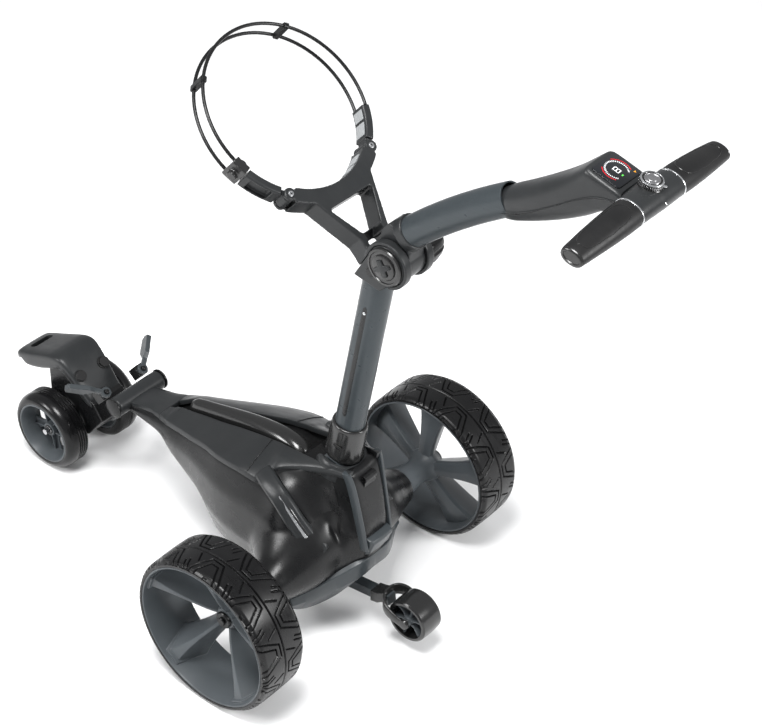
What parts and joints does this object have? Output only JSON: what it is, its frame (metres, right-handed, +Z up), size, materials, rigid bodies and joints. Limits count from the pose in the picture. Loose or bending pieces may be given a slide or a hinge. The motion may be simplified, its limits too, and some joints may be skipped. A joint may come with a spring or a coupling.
{
  "type": "electric golf trolley",
  "caption": "Folding powered golf trolley with wide rear drive wheels, twin front wheels, a leaning mast, bag supports and a T-bar handle.",
  "frame": {"origin": "on the ground, at the middle of the trolley's length and width", "axes": "+X forward, the way it drives; +Y the trolley's left; +Z up"},
  "size_m": [1.21, 0.6, 0.991],
  "materials": {
    "graphite": "satin moulded",
    "slate": "satin",
    "black_trim": "satin",
    "gloss_black": "gloss",
    "rubber": "matt",
    "tyre": "worn semi-matt",
    "rim_plastic": "satin",
    "steel": "brushed",
    "aluminium": "anodised slate",
    "screen": "polished",
    "silver_trim": "satin chrome"
  },
  "bodies": {
    "chassis": {"neck_frame": "graphite", "top_cover": "graphite", "valley_duct": "black_trim", "rear_casing": "graphite", "rear_band": "slate", "belly_pan": "black_trim", "mast_cradle": "steel", "battery_pack": "black_trim", "controller_box": "steel", "motor_left": "steel", "motor_right": "steel", "gearbox_left": "slate", "gearbox_right": "slate", "axle_housing_left": "graphite", "axle_housing_right": "graphite", "anti_tip_arm": "slate", "anti_tip_fork": "gloss_black", "anti_tip_axle": "steel"},
    "anti_tip_wheel": {"anti_tip_wheel": "gloss_black"},
    "mast_latch": {"mast_latch_lever": "black_trim"},
    "mast": {"mast_foot": "graphite", "mast_collar": "black_trim", "mast_tube": "aluminium", "mast_head": "slate", "handle_pivot_pin": "steel", "bag_bracket": "graphite", "hub_sleeve": "black_trim"},
    "handle": {"handle_elbow": "graphite", "handle_tube": "aluminium", "console_base": "black_trim", "console_cover": "graphite", "screen_glass": "screen", "bar_core": "graphite", "grip_left": "rubber", "grip_right": "rubber"},
    "speed_dial": {"dial_ring": "silver_trim"},
    "dial_button": {"dial_button": "black_trim"},
    "strap_arm_left": {"strap_arm_left": "graphite"},
    "strap_arm_right": {"strap_arm_right": "graphite", "strap_buckle": "black_trim", "strap_cords": "black_trim"},
    "front_support": {"front_bracket": "graphite", "front_fork": "graphite", "front_pivot_tube": "graphite", "bag_pads": "rubber", "front_axle": "steel", "lever_blocks": "black_trim"},
    "bag_lever_left": {"bag_lever_left": "graphite"},
    "bag_lever_right": {"bag_lever_right": "graphite"},
    "rear_wheel_left": {"rear_tyre_left": "tyre", "rear_rim_left": "rim_plastic", "rear_axle_left": "steel"},
    "rear_wheel_right": {"rear_tyre_right": "tyre", "rear_rim_right": "rim_plastic", "rear_axle_right": "steel"},
    "front_wheel_left": {"front_tyre_left": "tyre", "front_rim_left": "rim_plastic"},
    "front_wheel_right": {"front_tyre_right": "tyre", "front_rim_right": "rim_plastic"}
  },
  "joints": [
    {"name": "rear_left_spin", "type": "hinge", "parent": "chassis", "child": "rear_wheel_left", "pos_m": [-0.085, 0.2565, 0.1305], "axis": [0, 1, 0], "continuous": true},
    {"name": "rear_right_spin", "type": "hinge", "parent": "chassis", "child": "rear_wheel_right", "pos_m": [-0.085, -0.2565, 0.1305], "axis": [0, 1, 0], "continuous": true},
    {"name": "anti_tip_spin", "type": "hinge", "parent": "chassis", "child": "anti_tip_wheel", "pos_m": [-0.249, 0, 0.062], "axis": [0, 1, 0], "continuous": true},
    {"name": "front_fold", "type": "hinge", "parent": "chassis", "child": "front_support", "pos_m": [0.345, 0, 0.187], "axis": [0, 1, 0], "range_deg": [0, 85]},
    {"name": "front_left_spin", "type": "hinge", "parent": "front_support", "child": "front_wheel_left", "pos_m": [0.498, 0.0605, 0.0705], "axis": [0, 1, 0], "continuous": true},
    {"name": "front_right_spin", "type": "hinge", "parent": "front_support", "child": "front_wheel_right", "pos_m": [0.498, -0.0605, 0.0705], "axis": [0, 1, 0], "continuous": true},
    {"name": "bag_lever_left_turn", "type": "hinge", "parent": "front_support", "child": "bag_lever_left", "pos_m": [0.374, 0.042, 0.199], "axis": [-0.6547, 0, 0.7559], "range_deg": [-30, 30]},
    {"name": "bag_lever_right_turn", "type": "hinge", "parent": "front_support", "child": "bag_lever_right", "pos_m": [0.374, -0.042, 0.199], "axis": [-0.6547, 0, 0.7559], "range_deg": [-30, 30]},
    {"name": "mast_fold", "type": "hinge", "parent": "chassis", "child": "mast", "pos_m": [-0.1, 0, 0.286], "axis": [0, 1, 0], "range_deg": [0, 75]},
    {"name": "mast_latch_pull", "type": "hinge", "parent": "chassis", "child": "mast_latch", "pos_m": [-0.153, 0, 0.288], "axis": [0, 1, 0], "range_deg": [0, 25], "stiffness_Nm_per_rad": 0.3, "springref_deg": -5.73},
    {"name": "handle_fold", "type": "hinge", "parent": "mast", "child": "handle", "pos_m": [-0.20197, 0, 0.70451], "axis": [0, -1, 0], "range_deg": [-15, 118]},
    {"name": "strap_left_swing", "type": "hinge", "parent": "mast", "child": "strap_arm_left", "pos_m": [-0.06857, 0.083, 0.78121], "axis": [-0.6547, 0, 0.7559], "range_deg": [0, 50]},
    {"name": "strap_right_swing", "type": "hinge", "parent": "mast", "child": "strap_arm_right", "pos_m": [-0.06857, -0.083, 0.78121], "axis": [-0.6547, 0, 0.7559], "range_deg": [-50, 0]},
    {"name": "dial_turn", "type": "hinge", "parent": "handle", "child": "speed_dial", "pos_m": [-0.579, 0, 0.977], "axis": [-0.2079, 0, 0.9781], "range_deg": [-150, 150]},
    {"name": "dial_press", "type": "slide", "parent": "speed_dial", "child": "dial_button", "axis": [0.2079, 0, -0.9781], "range_m": [0, 0.0015], "stiffness_N_per_m": 800, "springref_m": -0.001}
  ]
}
